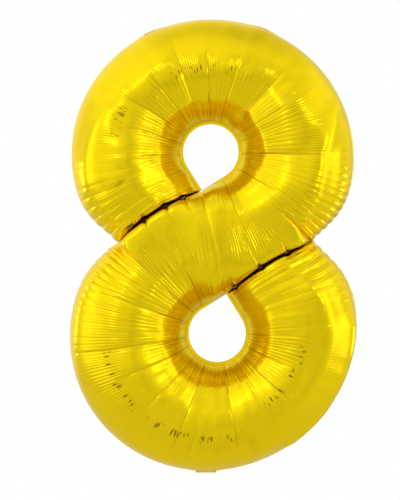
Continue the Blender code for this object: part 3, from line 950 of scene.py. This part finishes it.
class BALLOON_OT_tabs(bpy.types.Operator):
    """Makes the two hanging tabs, with their punched holes, and the roots that they fold from"""

    bl_idname = "balloon.tabs"
    bl_label = "Hanging tabs"

    def execute(self, context):
        tab = context.scene.balloon_tabs
        gold = bpy.data.materials["gold film"]
        turn = np.linspace(0, 2 * pi, 72, endpoint=False)
        rings = np.linspace(0, 1, 11)[None, :] ** 1.2
        out = tab.hole_radius + rings * (self.reach(tab, turn) - tab.hole_radius)[:, None]
        across, up = np.cos(turn)[:, None] * out, tab.hole_along + np.sin(turn)[:, None] * out
        for side, salt in (("right", 3), ("left", 8)):
            fold = joint_frame(side + "_tab_fold")
            rise = 0.0008 * (up / tab.tab_length) ** 2 * (1 + 0.5 * drift(across / 0.009, salt))
            rise += 0.00022 * drift_2d(across / 0.0042, up / 0.0055, salt + 1) * ramp(up, 0.001, 0.006)
            rise -= 0.00025 * bell(out - tab.hole_radius, 0.0009)
            points = at_fold(fold, across, up, rise)
            name = f"hanging_tab_{side}_film"
            piece = thin_film(name, points, 2 * tab.film, gold, fold[2], ring=True)
            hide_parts("hanging_tab_" + side)
            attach(piece, side + "_tab")
            fold_root(f"hanging_tab_{side}_root", fold, tab.tab_width, 0.0012, 2 * tab.film, gold)
        return {"FINISHED"}

    @staticmethod
    def reach(tab, turn):
        """From the hole's middle to the tab's edge, which has round corners away from the fold."""
        low, high = np.zeros_like(turn), np.full_like(turn, 2 * tab.tab_length)
        for _ in range(40):
            middle = (low + high) / 2
            across, up = np.abs(np.cos(turn)) * middle, tab.hole_along + np.sin(turn) * middle
            corner = np.where(up > tab.hole_along, 0.006, 0.0006)
            over = np.stack((across - (tab.tab_width / 2 - corner), up - (tab.tab_length - corner)), -1)
            under = np.stack((across - (tab.tab_width / 2 - corner), 0.0008 + corner - up), -1)
            gap = [np.linalg.norm(np.maximum(each, 0), axis=-1) - corner for each in (over, under)]
            inside = np.maximum(*gap) < 0
            low, high = np.where(inside, middle, low), np.where(inside, high, middle)
        return low


class BALLOON_OT_tail(bpy.types.Operator):
    """Makes the two films of the filling tail, with their channel, and the root that it folds from"""

    bl_idname = "balloon.tail"
    bl_label = "Filling tail"

    def execute(self, context):
        tab = context.scene.balloon_tabs
        gold = bpy.data.materials["gold film"]
        fold = joint_frame("tail_fold")
        across, up = grid(np.linspace(-1, 1, 61), np.linspace(0, 1, 47))
        narrow = 1 - 0.1 * ramp(up, 0.86, 1.0)
        across = across * narrow * tab.tail_width / 2
        up = 0.0008 + up * (tab.tail_length - 0.0008)
        for side, facing in (("front", -1), ("back", 1)):
            lifted = 1 - ramp(np.abs(across), tab.channel - 0.001, tab.channel + 0.004)
            rise = 0.00040 + 0.0009 * lifted
            rise += 0.00022 * lifted * drift_2d(across / 0.005, up / 0.011, 50 + facing)
            rise += 0.00012 * (1 - lifted) * (ridges(up / 0.0016, 1.0) - 0.5) * ramp(up, 0.002, 0.008)
            wave = 0.0006 * drift_2d(across / 0.02, up / 0.02, 60) * ramp(up, 0.004, 0.02)
            points = at_fold(fold, across, up, facing * -1 * rise + wave)
            piece = thin_film(f"tail_{side}_skin", points, tab.film, gold, fold[2] * -facing)
            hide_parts(f"tail_{side}_film")
            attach(piece, "filling_tail")
        fold_root("tail_root", fold, tab.tail_width, 0.0020, 2 * tab.film, gold)
        return {"FINISHED"}


class BALLOON_OT_valve(bpy.types.Operator):
    """Makes the four films of the self-sealing valve inside the foot of the balloon"""

    bl_idname = "balloon.valve"
    bl_label = "Valve"

    def execute(self, context):
        clear = bpy.data.materials["valve film"]
        film = context.scene.balloon_tabs.film
        bodies = {"film": ("balloon", "balloon"), "lip": ("front_lip", "back_lip")}
        for part, (front, back) in bodies.items():
            for side, facing, body in (("front", -1, front), ("back", 1, back)):
                node = f"valve_{side}_{part}"
                low, high = (Vector(corner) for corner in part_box(node))
                across, up = grid(np.linspace(-1, 1, 25), np.linspace(0, 1, 33))
                if part == "film":
                    taper = 1 - 0.31 * ramp(up, 0.33, 1.0)
                else:
                    taper = 0.87 + 0.13 * ramp(up, 0.0, 0.9) - 0.3 * ramp(up, 0.9, 1.0)
                half = (high.x - low.x) / 2
                x = (low.x + high.x) / 2 + across * taper * half
                z = low.z + up * (high.z - low.z)
                y = (low.y + high.y) / 2 + facing * 0.00008 * drift_2d(across * 3, up * 6, 70 + facing)
                points = np.stack((x, y, z), -1)
                piece = thin_film(node + "_sheet", points, film / 2, clear, Vector((0, facing, 0)))
                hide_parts(node)
                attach(piece, body)
        return {"FINISHED"}


class BALLOON_OT_panels(bpy.types.Operator):
    """Lays the front and back panels of film"""

    bl_idname = "balloon.panels"
    bl_label = "Film panels"

    def execute(self, context):
        film = context.scene.balloon_film
        for name, facing in (("front", -1), ("back", 1)):
            points, marks = laid_film(film, facing)
            mesh = film_mesh(name + "_foil_film", points, marks, facing)
            panel = show(name + "_foil_film", mesh, bpy.data.materials["laid gold film"])
            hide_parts(name + "_foil")
            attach(panel, "balloon")
        return {"FINISHED"}


class BALLOON_OT_finishes(bpy.types.Operator):
    """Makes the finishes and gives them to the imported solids"""

    bl_idname = "balloon.finishes"
    bl_label = "Finishes"

    def execute(self, context):
        finish = context.scene.balloon_finish
        crinkle_group()
        streak_group()
        tiny_tuck_shade_group()
        slit_group()
        gold, clear = gold_film(finish, "gold film", False), clear_film(finish)
        gold_film(finish, "laid gold film", True)
        for name, node in frame["nodes"].items():
            node.material_slots[0].material = clear if name.startswith("valve") else gold
        return {"FINISHED"}


class BALLOON_OT_studio(bpy.types.Operator):
    """Sets the camera, the soft light and the floor"""

    bl_idname = "balloon.studio"
    bl_label = "Studio"

    def execute(self, context):
        studio = context.scene.balloon_studio
        scene = context.scene
        floor_height = Vector(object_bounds()[0]).z - studio.floor_drop
        aim = Vector((CENTRE[0] + AIM_SHIFT[0], SEAM_Y, CENTRE[1] + AIM_SHIFT[1]))
        camera = bpy.data.objects.new("camera", bpy.data.cameras.new("camera"))
        camera.data.sensor_width = 36
        camera.data.lens = 36 * studio.distance / studio.view_height
        camera.location = aim + Vector((0, -studio.distance, 0))
        camera.rotation_euler = (pi / 2, 0, 0)
        scene.collection.objects.link(camera)
        scene.camera = camera
        bpy.ops.object.select_all(action="DESELECT")
        bpy.ops.mesh.primitive_plane_add(size=3.6, location=(aim.x, aim.y - 0.5, floor_height))
        floor = bpy.context.active_object
        floor.name = "floor"
        floor.data.materials.append(pale_floor())
        floor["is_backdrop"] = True
        soft_sky(scene)
        for name, place, size, power in LIGHTS:
            soft_light(name, place, size, power, aim)
        scene.view_settings.view_transform = "Standard"
        return {"FINISHED"}


def pale_floor():
    made, tree, shader = new_material("pale floor")
    fill(tree, shader, base_color=(0.72, 0.72, 0.71, 1), roughness=0.8)
    return made


AIM_SHIFT = (-0.0267, -0.0096)  # from the middle of the figure to the middle of the view
LIGHTS = (  # name, place from the middle of the view, size, power in watts
    ("left softbox", (-1.6, -0.6, 0.1), (0.9, 1.7), 2.6),
    ("right softbox", (1.7, -0.5, 0.0), (0.7, 1.5), 2.2),
    ("top softbox", (0.0, -0.7, 1.5), (1.8, 0.9), 0.6),
    ("key light", (-0.85, -1.7, 1.0), (0.26, 0.26), 1.5),
    ("side light", (1.25, -1.3, 0.35), (0.2, 0.35), 1.2),
    ("left rim light", (-1.6, 0.7, -0.05), (0.3, 0.5), 1.2),
    ("right rim light", (1.6, 0.6, -0.35), (0.25, 0.35), 0.8),
)
ROOM_LEVELS = {  # how bright the room is from -1 to 1 along each axis
    "Z": (
        (-1.0, 0.16), (-0.5, 0.22), (-0.2, 0.40), (0.0, 0.48),
        (0.3, 0.54), (0.55, 0.66), (0.8, 0.56), (1.0, 0.46),
    ),
    "X": (
        (-1.0, 0.34), (-0.6, 0.52), (-0.25, 0.34), (0.0, 0.34),
        (0.3, 0.14), (0.6, 0.3), (0.8, 0.46), (1.0, 0.34),
    ),
}


def soft_sky(scene):
    """A white room that the film mirrors: bright above, dim below, and brighter on the left."""
    world = bpy.data.worlds.new("white room")
    world.use_nodes = True
    tree = world.node_tree
    where = add(tree, "ShaderNodeTexCoord", (-900, 0)).outputs["Generated"]
    split = add(tree, "ShaderNodeSeparateXYZ", (-700, 0), vector=where)
    parts = []
    for axis, stops in ROOM_LEVELS.items():
        row = 200 - 300 * len(parts)
        share = span(tree, split.outputs[axis], (-600, row), (-1.0, 1.0, 0.0, 1.0))
        levels = add(tree, "ShaderNodeValToRGB", (-450, row), fac=share)
        levels.color_ramp.interpolation = "EASE"
        while len(levels.color_ramp.elements) < len(stops):
            levels.color_ramp.elements.new(0.5)
        for element, (place, value) in zip(levels.color_ramp.elements, stops):
            element.position = (place + 1) / 2
            element.color = (value, value, value, 1)
        parts.append(levels.outputs["Color"])
    white = (1, 1, 1, 1)
    level = calculate(tree, "ADD", (-200, 0), *parts)
    mirrored = fill(tree, tree.nodes["Background"], color=white, strength=level)
    seen = add(tree, "ShaderNodeBackground", (100, 200), color=white, strength=1.0)
    path = add(tree, "ShaderNodeLightPath", (100, 500))
    backgrounds = (mirrored.outputs[0], seen.outputs[0])
    ways = (path.outputs["Is Camera Ray"], *backgrounds)
    either = calculate(tree, None, (350, 100), *ways, kind="ShaderNodeMixShader")
    put(tree, tree.nodes["World Output"].inputs["Surface"], either)
    scene.world = world


def soft_light(name, place, size, power, aim):
    lamp = bpy.data.lights.new(name, "AREA")
    lamp.shape = "RECTANGLE"
    lamp.size, lamp.size_y = size
    lamp.energy = power
    made = bpy.data.objects.new(name, lamp)
    made.location = aim + Vector(place)
    made.rotation_euler = (aim - made.location).to_track_quat("-Z", "Y").to_euler()
    bpy.context.scene.collection.objects.link(made)
    return made


class BALLOON_PT_build(bpy.types.Panel):
    """The balloon's pieces and settings"""

    bl_idname = "BALLOON_PT_build"
    bl_label = "Foil balloon"
    bl_space_type = "VIEW_3D"
    bl_region_type = "UI"
    bl_category = "Balloon"

    def draw(self, context):
        for name in STEPS:
            self.layout.operator("balloon." + name)


SETTINGS = {
    "balloon_film": FilmSettings,
    "balloon_tabs": TabSettings,
    "balloon_finish": FinishSettings,
    "balloon_studio": StudioSettings,
}
STEPS = {
    "finishes": BALLOON_OT_finishes,
    "panels": BALLOON_OT_panels,
    "tabs": BALLOON_OT_tabs,
    "tail": BALLOON_OT_tail,
    "valve": BALLOON_OT_valve,
    "studio": BALLOON_OT_studio,
}
CLASSES = (*SETTINGS.values(), *STEPS.values(), BALLOON_PT_build)


def register():
    for each in CLASSES:
        bpy.utils.register_class(each)
    for name, group in SETTINGS.items():
        setattr(bpy.types.Scene, name, PointerProperty(type=group))


def unregister():
    for name in SETTINGS:
        delattr(bpy.types.Scene, name)
    for each in reversed(CLASSES):
        bpy.utils.unregister_class(each)


def main():
    register()
    for name in STEPS:
        getattr(bpy.ops.balloon, name)()


if __name__ == "__main__":
    main()
